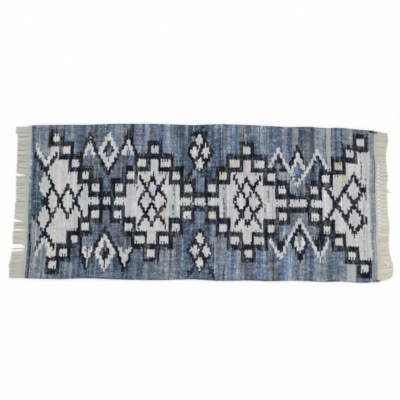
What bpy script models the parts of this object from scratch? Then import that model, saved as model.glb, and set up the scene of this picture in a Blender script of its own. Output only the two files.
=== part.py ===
"""Flat-woven rag rug with a fringe at each end, lying flat.

The rug is one woven field of cloth strips on cotton warps. At each end the warps leave the field through
a narrow heading and lie on the floor as a fringe of loose strings.

Frame: +X along the length, +Y across the width towards the far selvedge, +Z up.
The origin is the middle of the underside. Units are metres.
"""

import math
import random
from collections import namedtuple

import bmesh
import bpy

# ---- the cloth ----------------------------------------------------------------------------------
CLOTH_THICKNESS = 0.0065  # over the crests of the weft ribs
RIB_DEPTH = 0.0014  # crest to furrow, on the upper face
RIB_COUNT = 140  # weft ribs along the field
SELVEDGE_HEIGHT = 0.60  # height at the selvedge, as a share of the thickness
SELVEDGE_BULGE = 0.0012  # how far a rib's turn stands out of the selvedge
BULGE_UNEVENNESS = 0.5  # of that, and how far it turns through its sine from one rib to the next
BULGE_RHYTHM = 4.6
FACE_WAVE = 0.0003  # slow unevenness of the upper face, and its waves along and across the field
FACE_WAVES = (1.4, 0.9)

# Rows of the field, from the far selvedge to the near one. Height is a share of the thickness.
Row = namedtuple("Row", "share height")
ROWS = [
    Row(0.000, SELVEDGE_HEIGHT), Row(0.010, 0.97), Row(0.130, 1.0), Row(0.280, 1.0), Row(0.430, 1.0),
    Row(0.570, 1.0), Row(0.720, 1.0), Row(0.870, 1.0), Row(0.990, 0.97), Row(1.000, SELVEDGE_HEIGHT),
]

# The outline, as uneven as the real one. A station is a share of an edge's length and the edge's
# place there: Y for a selvedge, which runs left to right, and X for an end, which runs far to near.
Station = namedtuple("Station", "share at")
FAR_SELVEDGE = [
    Station(0.00, 0.3080), Station(0.07, 0.3100), Station(0.17, 0.3108), Station(0.24, 0.3140),
    Station(0.37, 0.3136), Station(0.47, 0.3090), Station(0.54, 0.3126), Station(0.61, 0.3106),
    Station(0.69, 0.3056), Station(0.76, 0.3008), Station(0.81, 0.3020), Station(0.86, 0.2968),
    Station(0.90, 0.2982), Station(0.94, 0.2930), Station(1.00, 0.2860),
]
NEAR_SELVEDGE = [
    Station(0.00, -0.3020), Station(0.10, -0.3050), Station(0.18, -0.3022), Station(0.27, -0.3070),
    Station(0.38, -0.3092), Station(0.48, -0.3066), Station(0.55, -0.3120), Station(0.64, -0.3110),
    Station(0.70, -0.3136), Station(0.77, -0.3116), Station(0.85, -0.3164), Station(0.90, -0.3152),
    Station(0.96, -0.3200), Station(1.00, -0.3164),
]
LEFT_END = [
    Station(0.00, -0.6760), Station(0.16, -0.6804), Station(0.33, -0.6856), Station(0.50, -0.6880),
    Station(0.66, -0.6920), Station(0.80, -0.6960), Station(0.90, -0.7008), Station(1.00, -0.7070),
]
RIGHT_END = [
    Station(0.00, 0.6912), Station(0.12, 0.6916), Station(0.27, 0.6984), Station(0.36, 0.6960),
    Station(0.50, 0.6992), Station(0.62, 0.7016), Station(0.72, 0.7008), Station(0.84, 0.7056),
    Station(1.00, 0.7056),
]

# ---- the fringes --------------------------------------------------------------------------------
HEADING_GAP = 0.0003  # between the field's end and its heading
HEADING_WIDTH = 0.0080
HEADING_THICKNESS = 0.0046  # over a knot
HEADING_DIP = 0.0008  # from a knot down to the heading between two knots

STRING_COUNT = 148  # strings in one fringe
STRING_RADIUS = 0.00145
ROOT_HEIGHT = 0.0022  # middle of a string where it leaves the heading
TIP_UNEVENNESS = 0.0012
WANDER = 0.0005  # slow sideways wander, and how far it turns through its sine from string to string
WANDER_RHYTHM = 0.35
BEND = (0.35, 0.70)  # share of the free length at a string's bend, and how much of its lean it has by then
LEANING_STRINGS = 36  # strings from a fringe's corner on that lean with it
PARTED_STRINGS = 15  # strings on either side that a parting pushes aside

STRINGS_IN_KNOT = 4
NECK_LENGTH = 0.0050  # how far a knot's strings run side by side before they spread
NECK_SPACING = 0.0022
NECK_SQUEEZE = 0.64  # a string's radius in the neck, as a share of its own
NECK_LEAN = 0.05  # how much of its lean a string has at the end of the neck

# How far the strings reach from the field's end. The stations run far to near.
LEFT_REACH = [
    Station(0.00, 0.0630), Station(0.05, 0.0570), Station(0.33, 0.0505), Station(0.44, 0.0530),
    Station(0.58, 0.0550), Station(0.72, 0.0590), Station(0.82, 0.0610), Station(0.90, 0.0690),
    Station(0.97, 0.0670), Station(1.00, 0.0590),
]
RIGHT_REACH = [
    Station(0.00, 0.0540), Station(0.05, 0.0575), Station(0.10, 0.0520), Station(0.16, 0.0470),
    Station(0.26, 0.0455), Station(0.30, 0.0500), Station(0.36, 0.0470), Station(0.55, 0.0480),
    Station(0.65, 0.0520), Station(0.80, 0.0490), Station(0.86, 0.0560), Station(0.91, 0.0625),
    Station(0.97, 0.0620), Station(1.00, 0.0530),
]

# A parting is an open gap before the string of that number, counted from the far selvedge.
Parting = namedtuple("Parting", "string width")
LEFT_PARTINGS = [
    Parting(47, 0.0120), Parting(94, 0.0080), Parting(100, 0.0085),
    Parting(116, 0.0125), Parting(118, 0.0045),
]

# out is the way the fringe points along X. A lean is how far the outermost tips lie from their roots,
# along Y. The numbers in knots are groups of strings, and those in long_strings are single ones.
Fringe = namedtuple("Fringe", "name out reach partings far_lean near_lean knots long_strings extra_reach seed")
FRINGES = [
    Fringe(
        name="fringe_left", out=-1, reach=LEFT_REACH, partings=LEFT_PARTINGS,
        far_lean=-0.005, near_lean=-0.001,
        knots=range(0), long_strings=range(0), extra_reach=0, seed=11,
    ),
    Fringe(
        name="fringe_right", out=1, reach=RIGHT_REACH, partings=[],
        far_lean=-0.010, near_lean=0.012,
        knots=range(7, 27), long_strings=range(58, 60), extra_reach=0.010, seed=23,
    ),
]

WELD = 0.00001  # points nearer than this are one

CLOTH_COLOUR = (0.16, 0.20, 0.28)
COTTON_COLOUR = (0.60, 0.59, 0.53)
ROUGHNESS = 0.95


def between(items, share):
    """The number of the item at or before a share, and how far the share lies towards the next one."""
    i = max(k for k in range(len(items) - 1) if k == 0 or items[k].share <= share)
    return i, (share - items[i].share) / (items[i + 1].share - items[i].share)


def read(stations, share):
    """The place of an edge at a share of its length: a smooth curve through the stations."""
    i, t = between(stations, share)
    a, b = stations[i], stations[i + 1]
    before, after = stations[max(i - 1, 0)], stations[min(i + 2, len(stations) - 1)]
    step = b.share - a.share
    slope_a = step * (b.at - before.at) / (b.share - before.share)
    slope_b = step * (after.at - a.at) / (after.share - a.share)
    return (
        a.at * (2 * t**3 - 3 * t**2 + 1) + slope_a * (t**3 - 2 * t**2 + t)
        + b.at * (3 * t**2 - 2 * t**3) + slope_b * (t**3 - t**2)
    )


def cloth_point(u, v):
    """X and Y of the field at u of its length from the left and v of its width from the far selvedge."""
    left, right = read(LEFT_END, v), read(RIGHT_END, v)
    far, near = read(FAR_SELVEDGE, u), read(NEAR_SELVEDGE, u)
    return left * (1 - u) + right * u, far * (1 - v) + near * v


def end_point(fringe, v):
    """X and Y of the field's end at v of its width: straight from each row of the field to the next."""
    u = 0 if fringe.out < 0 else 1
    row, t = between(ROWS, v)
    ax, ay = cloth_point(u, ROWS[row].share)
    bx, by = cloth_point(u, ROWS[row + 1].share)
    return ax + (bx - ax) * t, ay + (by - ay) * t


def material(name, colour):
    made = bpy.data.materials.new(name)
    made.use_nodes = True
    shader = made.node_tree.nodes["Principled BSDF"]
    shader.inputs["Base Color"].default_value = (*colour, 1)
    shader.inputs["Roughness"].default_value = ROUGHNESS
    shader.inputs["Metallic"].default_value = 0.0
    return made


def slab(name, columns, rows, place):
    """A closed slab on the floor: a grid set by place(column, row), its rim drawn down to the floor."""
    form = bmesh.new()
    bmesh.ops.create_grid(form, x_segments=columns, y_segments=rows, size=0.5)
    for vert in form.verts:
        vert.co = place(round((vert.co.x + 0.5) * columns), round((vert.co.y + 0.5) * rows))
    rim = [edge for edge in form.edges if edge.is_boundary]
    drawn = bmesh.ops.extrude_edge_only(form, edges=rim)["geom"]
    for vert in (item for item in drawn if isinstance(item, bmesh.types.BMVert)):
        vert.co.z = 0.0
    foot = [item for item in drawn if isinstance(item, bmesh.types.BMEdge) and item.is_boundary]
    bmesh.ops.edgeloop_fill(form, edges=foot)
    bmesh.ops.recalc_face_normals(form, faces=form.faces)
    mesh = bpy.data.meshes.new(name)
    form.to_mesh(mesh)
    form.free()
    return bpy.data.objects.new(name, mesh)


def woven_field():
    """The cloth: weft ribs across the whole width, rounded down to both selvedges."""
    columns, rows = 2 * RIB_COUNT, len(ROWS) - 1

    def place(column, row):
        u, v = column / columns, ROWS[row].share
        x, y = cloth_point(u, v)
        rib, crest = divmod(column, 2)
        height = CLOTH_THICKNESS * ROWS[row].height - (0 if crest else RIB_DEPTH)
        if 0 < row < rows:
            wave = math.sin(math.tau * FACE_WAVES[0] * u) * math.cos(math.tau * FACE_WAVES[1] * v)
            height -= FACE_WAVE * (1 + wave)
        elif crest:
            outward = 1 if row == 0 else -1
            y += outward * SELVEDGE_BULGE * (1 + BULGE_UNEVENNESS * math.sin(BULGE_RHYTHM * rib))
        return x, y, height

    return slab("rug_field", columns, rows, place)


def heading(fringe):
    """The narrow strip next to the field that holds the strings' roots, raised over each knot."""
    rows = 2 * (STRING_COUNT // STRINGS_IN_KNOT)

    def place(column, row):
        x, y = end_point(fringe, row / rows)
        height = HEADING_THICKNESS - (0 if row % 2 else HEADING_DIP)
        return x + fringe.out * (HEADING_GAP + column * HEADING_WIDTH), y, height

    return slab(fringe.name, 1, rows, place)


def tip_shift(fringe, k):
    """How far the tip of a string lies from its root along Y."""
    shift = fringe.far_lean * max(0, 1 - k / LEANING_STRINGS)
    shift += fringe.near_lean * max(0, 1 - (STRING_COUNT - 1 - k) / LEANING_STRINGS)
    for parting in fringe.partings:
        strings_off = k + 0.5 - parting.string
        push = parting.width / 2 * max(0, 1 - abs(strings_off) / PARTED_STRINGS)
        shift += push if strings_off < 0 else -push
    return shift


def string_lines(fringe):
    """For each string, its points from inside the heading to the tip, each with its radius."""
    chance = random.Random(fringe.seed)
    shares = [(k + 0.5) / STRING_COUNT for k in range(STRING_COUNT)]
    roots = [end_point(fringe, v) for v in shares]
    edge = HEADING_GAP + HEADING_WIDTH
    lines = []
    for k, (x, y) in enumerate(roots):
        reach = read(fringe.reach, shares[k]) + chance.uniform(-1, 1) * TIP_UNEVENNESS
        reach += fringe.extra_reach if k in fringe.long_strings else 0
        lean = tip_shift(fringe, k)
        knot, place_in_knot = divmod(k, STRINGS_IN_KNOT)
        bend, lean_at_bend = edge + BEND[0] * (reach - edge), BEND[1]

        def point(along, side, share_of_lean, height, radius):
            return x + fringe.out * along, y + side + lean * share_of_lean, height, radius

        line = [point(edge - HEADING_WIDTH / 2, 0, 0, ROOT_HEIGHT, STRING_RADIUS)]
        if knot in fringe.knots:
            first, last = k - place_in_knot, k - place_in_knot + STRINGS_IN_KNOT - 1
            knot_y = (roots[first][1] + roots[last][1]) / 2
            side = knot_y + ((first + last) / 2 - k) * NECK_SPACING - y
            neck = STRING_RADIUS * NECK_SQUEEZE
            line = [
                point(edge - HEADING_WIDTH / 2, side, 0, ROOT_HEIGHT, neck),
                point(edge + NECK_LENGTH, side, NECK_LEAN, neck, neck),
            ]
        wander = WANDER * math.sin(WANDER_RHYTHM * k)
        line.append(point(bend, wander, lean_at_bend, STRING_RADIUS, STRING_RADIUS))
        line.append(point(reach, 0, 1, STRING_RADIUS, STRING_RADIUS))
        lines.append(line)
    return lines


def strings(fringe):
    """All the strings of a fringe as one mesh of four-sided tubes."""
    curve = bpy.data.curves.new(fringe.name + "_strings", "CURVE")
    curve.dimensions = "3D"
    curve.twist_mode = "Z_UP"
    curve.bevel_depth = 1.0
    curve.bevel_resolution = 0
    curve.use_fill_caps = True
    for line in string_lines(fringe):
        spline = curve.splines.new("POLY")
        spline.points.add(len(line) - 1)
        for spline_point, (x, y, z, radius) in zip(spline.points, line):
            spline_point.co = (x, y, z, 1)
            spline_point.radius = radius
    drawn = bpy.data.objects.new(curve.name, curve)
    bpy.context.scene.collection.objects.link(drawn)
    mesh = bpy.data.meshes.new_from_object(drawn.evaluated_get(bpy.context.evaluated_depsgraph_get()))
    tubes = bpy.data.objects.new(fringe.name + "_tubes", mesh)
    tubes.matrix_world = drawn.matrix_world
    bpy.data.objects.remove(drawn)

    form = bmesh.new()
    form.from_mesh(mesh)
    bmesh.ops.remove_doubles(form, verts=form.verts, dist=WELD)
    bmesh.ops.recalc_face_normals(form, faces=form.faces)
    form.to_mesh(mesh)
    form.free()
    return tubes


def fringe_solid(fringe, helpers):
    """The heading with its strings joined to it, as one body."""
    solid = heading(fringe)
    tubes = strings(fringe)
    tubes.hide_render = True
    tubes.display_type = "WIRE"
    helpers.objects.link(tubes)
    join = solid.modifiers.new("join strings", "BOOLEAN")
    join.operation = "UNION"
    join.solver = "EXACT"
    join.object = tubes
    return solid


def centre_on_origin(pieces, helpers):
    """Moves everything together, so that the middle of the underside of the whole is the origin."""
    graph = bpy.context.evaluated_depsgraph_get()
    points = [vert.co for piece in pieces for vert in piece.evaluated_get(graph).data.vertices]
    for axis in (0, 1):
        places = [point[axis] for point in points]
        for thing in [*pieces, *helpers.objects]:
            thing.location[axis] = -(min(places) + max(places)) / 2


def main():
    for old in list(bpy.data.objects):
        bpy.data.objects.remove(old)
    rug = bpy.data.collections.new("rag rug")
    helpers = bpy.data.collections.new("helpers")
    bpy.context.scene.collection.children.link(rug)
    bpy.context.scene.collection.children.link(helpers)

    cloth = woven_field()
    cloth.data.materials.append(material("woven cloth strips", CLOTH_COLOUR))
    pieces = [cloth]
    cotton = material("cotton warp", COTTON_COLOUR)
    for fringe in FRINGES:
        solid = fringe_solid(fringe, helpers)
        solid.data.materials.append(cotton)
        pieces.append(solid)
    for piece in pieces:
        rug.objects.link(piece)
    centre_on_origin(pieces, helpers)


main()
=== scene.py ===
"""Looks of the flat-woven denim rag rug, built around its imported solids.

The cloth is woven float by float: a float is the short hump where a cloth strip passes over one warp.
A chart says which strip shows at each crossing, and the fringes are made thread by thread.

Frame: +X along the length, +Y towards the far selvedge, +Z up. Units are metres.
On the chart, places are counted in picks from the left end and in pairs of warps from a selvedge.
"""

import math
from collections import namedtuple

import bpy
import numpy as np
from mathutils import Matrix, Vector

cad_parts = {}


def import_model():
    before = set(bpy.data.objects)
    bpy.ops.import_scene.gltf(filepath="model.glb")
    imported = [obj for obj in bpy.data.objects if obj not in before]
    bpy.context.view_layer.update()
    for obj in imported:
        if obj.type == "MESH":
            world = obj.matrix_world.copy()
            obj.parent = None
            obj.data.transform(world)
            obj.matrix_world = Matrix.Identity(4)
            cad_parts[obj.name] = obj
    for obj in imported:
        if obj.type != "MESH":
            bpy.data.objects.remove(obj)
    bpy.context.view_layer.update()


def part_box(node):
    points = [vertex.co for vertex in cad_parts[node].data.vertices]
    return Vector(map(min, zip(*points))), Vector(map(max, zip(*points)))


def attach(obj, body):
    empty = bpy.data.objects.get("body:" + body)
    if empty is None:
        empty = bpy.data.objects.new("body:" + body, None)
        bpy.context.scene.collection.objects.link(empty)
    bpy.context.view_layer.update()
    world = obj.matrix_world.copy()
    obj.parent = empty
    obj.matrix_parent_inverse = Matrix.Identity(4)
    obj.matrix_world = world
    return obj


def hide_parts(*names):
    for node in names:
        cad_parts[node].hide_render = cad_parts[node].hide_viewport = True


def rows(kind, *values):
    """A table. Its columns are those of its kind."""
    return [kind(*row) for row in values]


# ---- the solids' own measures -------------------------------------------------------------------
CLOTH_THICKNESS = 0.0065
SELVEDGE_BULGE = 0.0012
FACE_WAVE = 0.0003
FACE_WAVES = (1.4, 0.9)

# The outline before the rug was centred. A station is a share of an edge's length and the edge's
# place there: Y for a selvedge, which runs left to right, and X for an end, which runs far to near.
# The middle of the left end is up to 3 mm further out than the solid's.
Station = namedtuple("Station", "share at")
FAR_SELVEDGE = rows(
    Station,
    (0.00, 0.3080), (0.07, 0.3100), (0.17, 0.3108), (0.24, 0.3140), (0.37, 0.3136), (0.47, 0.3090),
    (0.54, 0.3126), (0.61, 0.3106), (0.69, 0.3056), (0.76, 0.3008), (0.81, 0.3020), (0.86, 0.2968),
    (0.90, 0.2982), (0.94, 0.2930), (1.00, 0.2860),
)
NEAR_SELVEDGE = rows(
    Station,
    (0.00, -0.3020), (0.10, -0.3050), (0.18, -0.3022), (0.27, -0.3070), (0.38, -0.3092),
    (0.48, -0.3066), (0.55, -0.3120), (0.64, -0.3110), (0.70, -0.3136), (0.77, -0.3116),
    (0.85, -0.3164), (0.90, -0.3152), (0.96, -0.3200), (1.00, -0.3164),
)
LEFT_END = rows(
    Station,
    (0.00, -0.6760), (0.16, -0.6804), (0.33, -0.6872), (0.50, -0.6906), (0.66, -0.6932),
    (0.80, -0.6960), (0.90, -0.7008), (1.00, -0.7070),
)
RIGHT_END = rows(
    Station,
    (0.00, 0.6912), (0.12, 0.6916), (0.27, 0.6984), (0.36, 0.6960), (0.50, 0.6992), (0.62, 0.7016),
    (0.72, 0.7008), (0.84, 0.7056), (1.00, 0.7056),
)

HEADING_WIDTH = 0.0083  # from the field's end
STRING_COUNT = 148
ROOT_HEIGHT = 0.0026

# ---- the cotton ---------------------------------------------------------------------------------
# How far the strings reach from the field's end. The stations run far to near.
LEFT_REACH = rows(
    Station,
    (0.00, 0.0640), (0.04, 0.0640), (0.05, 0.0575), (0.20, 0.0540), (0.32, 0.0520), (0.33, 0.0525),
    (0.49, 0.0510), (0.51, 0.0535), (0.60, 0.0542), (0.64, 0.0560), (0.68, 0.0580), (0.69, 0.0600),
    (0.79, 0.0600), (0.82, 0.0625), (0.89, 0.0650), (0.92, 0.0690), (0.94, 0.0650), (1.00, 0.0630),
)
RIGHT_REACH = rows(
    Station,
    (0.00, 0.0540), (0.05, 0.0575), (0.10, 0.0520), (0.16, 0.0470), (0.26, 0.0455), (0.30, 0.0500),
    (0.36, 0.0470), (0.55, 0.0480), (0.65, 0.0520), (0.80, 0.0490), (0.86, 0.0560), (0.91, 0.0625),
    (0.97, 0.0620), (1.00, 0.0530),
)

THREADS_IN_STRING = 2
THREAD_COUNT = STRING_COUNT * THREADS_IN_STRING
THREAD_RADIUS = 0.00112
THREAD_RINGS = 30
RING_POINTS = 6
PLY_DEPTH = 0.20  # how far the two plies of a thread bulge, as a share of its radius
PLY_PITCH = 0.0085  # length of one full twist
ROOT_TUCK = 0.0025  # how far a thread starts inside the field
TIP_UNEVENNESS = 0.0012
LEANING_STRINGS = 36  # as far from a corner as its strings lean
PARTED_STRINGS = 12  # the same from a parting
LOOSE_THREADS = (4, 13)  # that lie together as a bundle, at least and below
KNOT_THREADS = (7, 9)  # the same for those tied in a knot
CLUMPING = 0.10  # how much a bundle of threads draws together towards its tips
ARCH = 0.0009  # how much higher the middle of a bundle lies
SWAY = 0.0006  # how far a bundle swings to the sides, and over what length
SWAY_LENGTH = 0.045
SWAY_CHANGE = 0.9  # radians by which the swing differs from bundle to bundle
WAVE_SIZE = 0.00030
WAVE_LENGTHS = (0.013, 0.026)
WAVE_RISE = 3  # the waves have grown up after one third of the free length
FALL = 0.30  # share of the free length on which a thread comes down to the floor
LIFT = 0.0007  # how much higher a thread can lie by chance
TIP_RADIUS = 0.55  # a thread's radius at its tip, as a share of its own
BUNDLE_GRAIN = 0.03  # unevenness of shade from bundle to bundle and from thread to thread
THREAD_GRAIN = 0.025
GROOVE_SHADE_RISE = 4  # the painted shade in the grooves between bundles starts in the first quarter and ends in the last eighth
GROOVE_SHADE_FALL = 8
GROOVE_SHADE_FADE = 0.6  # how much fainter the painted groove shade between bundles is at the near side
HEADING_PICKS = (0.0014, 0.0035, 0.0056, 0.0077)
HEADING_RADIUS = 0.00118
HEADING_SWING = 0.00085  # how far its picks and the threads swing over and under each other
HEADING_INSET = 0.003  # how far its turns stay inside the corners, as a share of the width
NECK_START = 0.0040  # distances of a knot's neck from the field's end: it gathers, lies close, opens
NECK_CLOSE = 0.0080
NECK_OPEN = 0.0130
NECK_END = 0.0210
NECK_PITCH = 0.0006  # spacing of its threads, which lie in two layers
NECK_RADIUS = 0.62  # a thread's radius in the neck, as a share of its own
NECK_SLANT = 0.30  # how far a neck runs to the far side, as a share of its length
NECK_LIFT = 0.0003
WRAP_TURNS = 3
WRAP_STEPS = 16  # in each turn
WRAP_PITCH = 0.0014
WRAP_RADIUS = 0.0006
WRAP_SIZE = (0.0029, 0.0017)  # half of a wrapping's width and height
WRAP_HEIGHT = 1.6  # of its middle, in radii of a thread
WRAP_SHADE = 0.97
CLEARANCE = 1.3  # of a thread that lies on the floor by itself, in its radii

# The strings' colour from the far side to the near one, and how it changes from root to tip.
Tone = namedtuple("Tone", "share red green blue")
LEFT_TONES = rows(
    Tone,
    (0.00, 195, 195, 189), (0.50, 196, 195, 186), (0.80, 198, 197, 188), (1.00, 194, 191, 181),
)
RIGHT_TONES = rows(
    Tone,
    (0.00, 200, 196, 180), (0.15, 204, 201, 187), (0.25, 211, 209, 199), (0.60, 218, 215, 205),
    (0.75, 211, 207, 194), (1.00, 214, 206, 193),
)
ROOT_TO_TIP = rows(
    Tone,
    (0.00, 0.86, 0.90, 0.95), (0.20, 0.96, 0.97, 0.97), (0.40, 1, 1, 1), (0.80, 1, 1, 1),
    (1.00, 1.01, 1.02, 1.05),
)

# A parting lies before a string. The strings beside it lean away, to the far side and to the near
# one, and with a high power they do so close to their roots.
Parting = namedtuple("Parting", "string far near power")
LEFT_PARTINGS = rows(
    Parting,
    (48, 0.0085, 0.0045, 1.6), (94, 0.0145, 0.0000, 1.3), (101, 0.0035, 0.0050, 6),
    (118, 0.0150, 0.0035, 6), (119, 0.0000, 0.0100, 7),
)

# A wisp is a single thread that has come out on top, from a distance to the field's end on.
Wisp = namedtuple("Wisp", "share start length turn radius")
RIGHT_WISPS = rows(
    Wisp,
    (0.383, 0.038, 0.018, -0.0060, 0.0011), (0.390, 0.038, 0.024, -0.0085, 0.0011),
    (0.398, 0.036, 0.026, -0.0030, 0.0010), (0.406, 0.036, 0.024, -0.0020, 0.0010),
    (0.870, 0.024, 0.010, -0.0040, 0.0015), (0.870, 0.033, 0.011, -0.0190, 0.0015),
    (0.887, 0.037, 0.021, 0.0020, 0.0016), (0.902, 0.043, 0.014, 0.0064, 0.0016),
)
# The wisps are coloured lighter than the strings: painted highlight where they lie on top and catch the
# light.
WISP_HIGHLIGHT_TONE = (240, 237, 231)
WISP_HEIGHT = 0.0046
WISP_RINGS = 12
WISP_FALL = (-0.002, 0.006)  # where a wisp comes down, from the strings' ends
WISP_ENDS = (0.12, 0.88)  # shares of a longer leaf shape between which it is cut out

# The cotton's looks
FIBRE = (0.004, 0.0009, 0.0015)  # grains of its speckle and bump
FIBRE_SHADE = 0.035  # how uneven they make its shade
COTTON_FINISH = {
    "Roughness": 0.88, "Specular IOR Level": 0.25, "Sheen Weight": 0.15, "Sheen Roughness": 0.5,
}

# The numbers in knots are threads. Groove shades bound the painted shade on a bundle's first thread, which
# stands for the groove before it.
Fringe = namedtuple(
    "Fringe", "name node out reach partings far_lean near_lean lean_power knots edges tones wisps"
)
FRINGES = [
    Fringe(
        name="fringe_left_threads", node="fringe_left", out=-1, reach=LEFT_REACH, partings=LEFT_PARTINGS,
        far_lean=-0.005, near_lean=-0.001, lean_power=5, knots=range(0), edges=(0.30, 1.0),
        tones=LEFT_TONES, wisps=[],
    ),
    Fringe(
        name="fringe_right_threads", node="fringe_right", out=1, reach=RIGHT_REACH, partings=[],
        far_lean=-0.010, near_lean=0.012, lean_power=1.5, knots=range(52, 208), edges=(0.50, 1.0),
        tones=RIGHT_TONES, wisps=RIGHT_WISPS,
    ),
]

# ---- the weave ----------------------------------------------------------------------------------
SEED = 4  # of everything uneven
PICKS = 280
WARPS = 150
FURROW = 0.0014  # crest of a float down to where three floats meet
UNDER_FURROW = 0.0014
TIP_WIDTH = 0.30  # half of the width of a float's ends, in picks
SELVEDGE_TOP = 0.62  # heights down the selvedge, as shares of the thickness
SELVEDGE_MIDDLE = 0.36
SELVEDGE_FOOT = 0.10
SELVEDGE_DIP = 0.0006  # how much lower the outermost floats lie
LUMP = 0.0003  # unevenness of the crests, and its limit in shares of this
LUMP_LIMIT = 2
STRAY = 0.0006  # the same sideways
STRAY_LIMIT = 1.5
TURN_BULGES = (1.25, 0.55)  # of the turns at a selvedge, which stand out more and less in turn
TURN_UNEVENNESS = 0.3
SIDE_SHARE = 0.8  # how far up a float the cloth's sides count as, for the painted furrow shade

# Ends of cloth strips that stand out past the field's right end
Tail = namedtuple("Tail", "share reach turn warp")
TAILS = rows(Tail, (0.012, 0.0145, 0.0006, 0), (0.996, 0.0100, 0.0010, WARPS - 1))
TAIL_SIZE = (0.0032, 0.0013)  # half of its width and height
TAIL_HEIGHT = 0.0050
TAIL_TUCK = 0.0040
TAIL_TIP = 0.05  # its size at its tip, as a share
TAIL_RINGS = 9
TAIL_POINTS = 10

# ---- the denim's looks --------------------------------------------------------------------------
COARSE_SPECKLE = 0.70  # unevenness of shade in the darkest cloth, coarse and fine
FINE_SPECKLE = 0.42
COARSE_GRAIN = (0.012, 0.0036, 0.012)  # size of a grain along X, Y and Z, in metres
FINE_GRAIN = (0.0040, 0.0022, 0.0040)
RED_PATCH = (0.022, 0.016, 0.022)  # size of the places where the denim is redder or bluer
GREEN_PATCH = (0.016, 0.028, 0.016)  # and greener or more purple
HUE_DRIFT = 0.11
TO_RED = (1.0, -0.2, -0.4)  # how much of each drift goes to red, green and blue
TO_GREEN = (-0.1, 0.5, -0.3)
GAIN = 0.97  # of a strip's own colour over the shade that its floats throw on each other
PAINTED_FURROW_SHADE = 0.50  # painted shade: how dark the darkest cloth is painted in the furrows between its floats
# How uneven cloth is by its lightness, from the darkest to the lightest
GRAIN_BY_LIGHT = {"From Min": 0.03, "From Max": 0.42, "To Min": 1.0, "To Max": 0.05}
TWILL = (0.0016, 0.0007, 0.0010)  # grains of the bump
DENIM_FINISH = {
    "Roughness": 0.92, "Specular IOR Level": 0.08, "Sheen Weight": 0.05, "Sheen Roughness": 0.6,
}

# ---- the chart's strips -------------------------------------------------------------------------
# A strip's sRGB colour as it shows in the cloth, and how uneven its floats are in shade.
Strip = namedtuple("Strip", "name red green blue grain")
STRIPS = rows(
    Strip,
    ("ink", 33, 37, 57, 0.5), ("pitch", 33, 36, 45, 0.5), ("coal", 46, 52, 61, 0.5),
    ("plum", 50, 53, 71, 0.4), ("pine", 60, 68, 72, 0.4), ("shadow", 80, 86, 91, 0.3),
    ("cream", 197, 199, 199, 0.05), ("chalk", 201, 203, 200, 0.05), ("linen", 192, 195, 190, 0.05),
    ("straw", 203, 200, 191, 0.05), ("lilac", 191, 189, 195, 0.05), ("rose", 196, 191, 187, 0.05),
    ("mist", 182, 188, 188, 0.05), ("moss", 184, 187, 172, 0.05), ("lemon", 200, 201, 177, 0.05),
    ("ash", 168, 172, 174, 0.05), ("heather", 150, 152, 162, 0.10), ("silver", 147, 154, 163, 0.10),
    ("pewter", 135, 144, 155, 0.14), ("dove", 131, 144, 163, 0.14), ("violet", 111, 122, 150, 0.14),
    ("lichen", 131, 142, 145, 0.14), ("brown", 128, 124, 128, 0.15), ("mauve", 125, 135, 152, 0.15),
    ("sage", 115, 125, 136, 0.16), ("sky", 118, 131, 149, 0.16), ("blue", 108, 123, 141, 0.17),
    ("cobalt", 103, 122, 150, 0.17), ("slate", 112, 123, 137, 0.17), ("umber", 103, 112, 125, 0.18),
    ("teal", 101, 117, 133, 0.18), ("indigo", 97, 112, 133, 0.20), ("navy", 88, 104, 122, 0.26),
    ("midnight", 85, 99, 117, 0.32),
)
NAMES = [strip.name for strip in STRIPS]

# Stripes of denim from the left end, as far as the last pick of each, in the far half and the near one
Stripe = namedtuple("Stripe", "until strip")
FAR_STRIPES = rows(
    Stripe,
    (3, "teal"), (11, "sage"), (14, "mauve"), (27, "slate"), (32, "sky"), (36, "pewter"), (39, "blue"),
    (50, "indigo"), (57, "umber"), (60, "umber"), (66, "teal"), (70, "blue"), (75, "pewter"),
    (80, "slate"), (84, "navy"), (86, "blue"), (91, "mauve"), (93, "blue"), (96, "dove"),
    (101, "umber"), (106, "cobalt"), (108, "indigo"), (112, "dove"), (116, "dove"), (121, "sky"),
    (128, "slate"), (145, "navy"), (152, "indigo"), (155, "navy"), (157, "blue"), (160, "dove"),
    (163, "sky"), (169, "cobalt"), (174, "slate"), (176, "pewter"), (181, "umber"), (190, "blue"),
    (196, "slate"), (201, "cobalt"), (206, "indigo"), (209, "dove"), (213, "indigo"), (218, "silver"),
    (225, "slate"), (227, "brown"), (231, "slate"), (235, "pewter"), (238, "silver"), (241, "sage"),
    (245, "ash"), (248, "sky"), (251, "teal"), (254, "navy"), (258, "sage"), (262, "silver"),
    (276, "slate"), (280, "silver"),
)
NEAR_STRIPES = rows(
    Stripe,
    (3, "umber"), (8, "pewter"), (12, "silver"), (15, "slate"), (31, "indigo"), (37, "mauve"),
    (46, "indigo"), (51, "navy"), (60, "teal"), (70, "mauve"), (73, "blue"), (77, "indigo"),
    (82, "navy"), (88, "blue"), (91, "slate"), (95, "teal"), (97, "sky"), (103, "slate"), (111, "sage"),
    (114, "pewter"), (116, "slate"), (119, "pewter"), (123, "slate"), (127, "blue"), (150, "indigo"),
    (153, "dove"), (156, "teal"), (159, "umber"), (161.5, "silver"), (166, "cobalt"), (171, "pewter"),
    (179, "umber"), (184, "sky"), (190, "cobalt"), (197, "sky"), (202, "slate"), (208, "cobalt"),
    (215, "dove"), (218, "slate"), (220, "silver"), (226, "slate"), (229, "indigo"), (232, "sky"),
    (240, "pewter"), (245, "slate"), (247, "slate"), (250, "mauve"), (256, "sky"), (263, "ash"),
    (275, "blue"), (278, "pewter"), (280, "silver"),
)
OUTLINES = ["ink", "ink", "pitch", "coal", "coal", "plum", "pine", "shadow"]  # taken in turn, by chance
OUTLINE_RUN = (2, 10)  # picks and warps that such a strip shows for
LIGHTENING = np.array([1.12, 1.0, 0.86])  # how much of a lighter shade goes to red, green and blue

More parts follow.
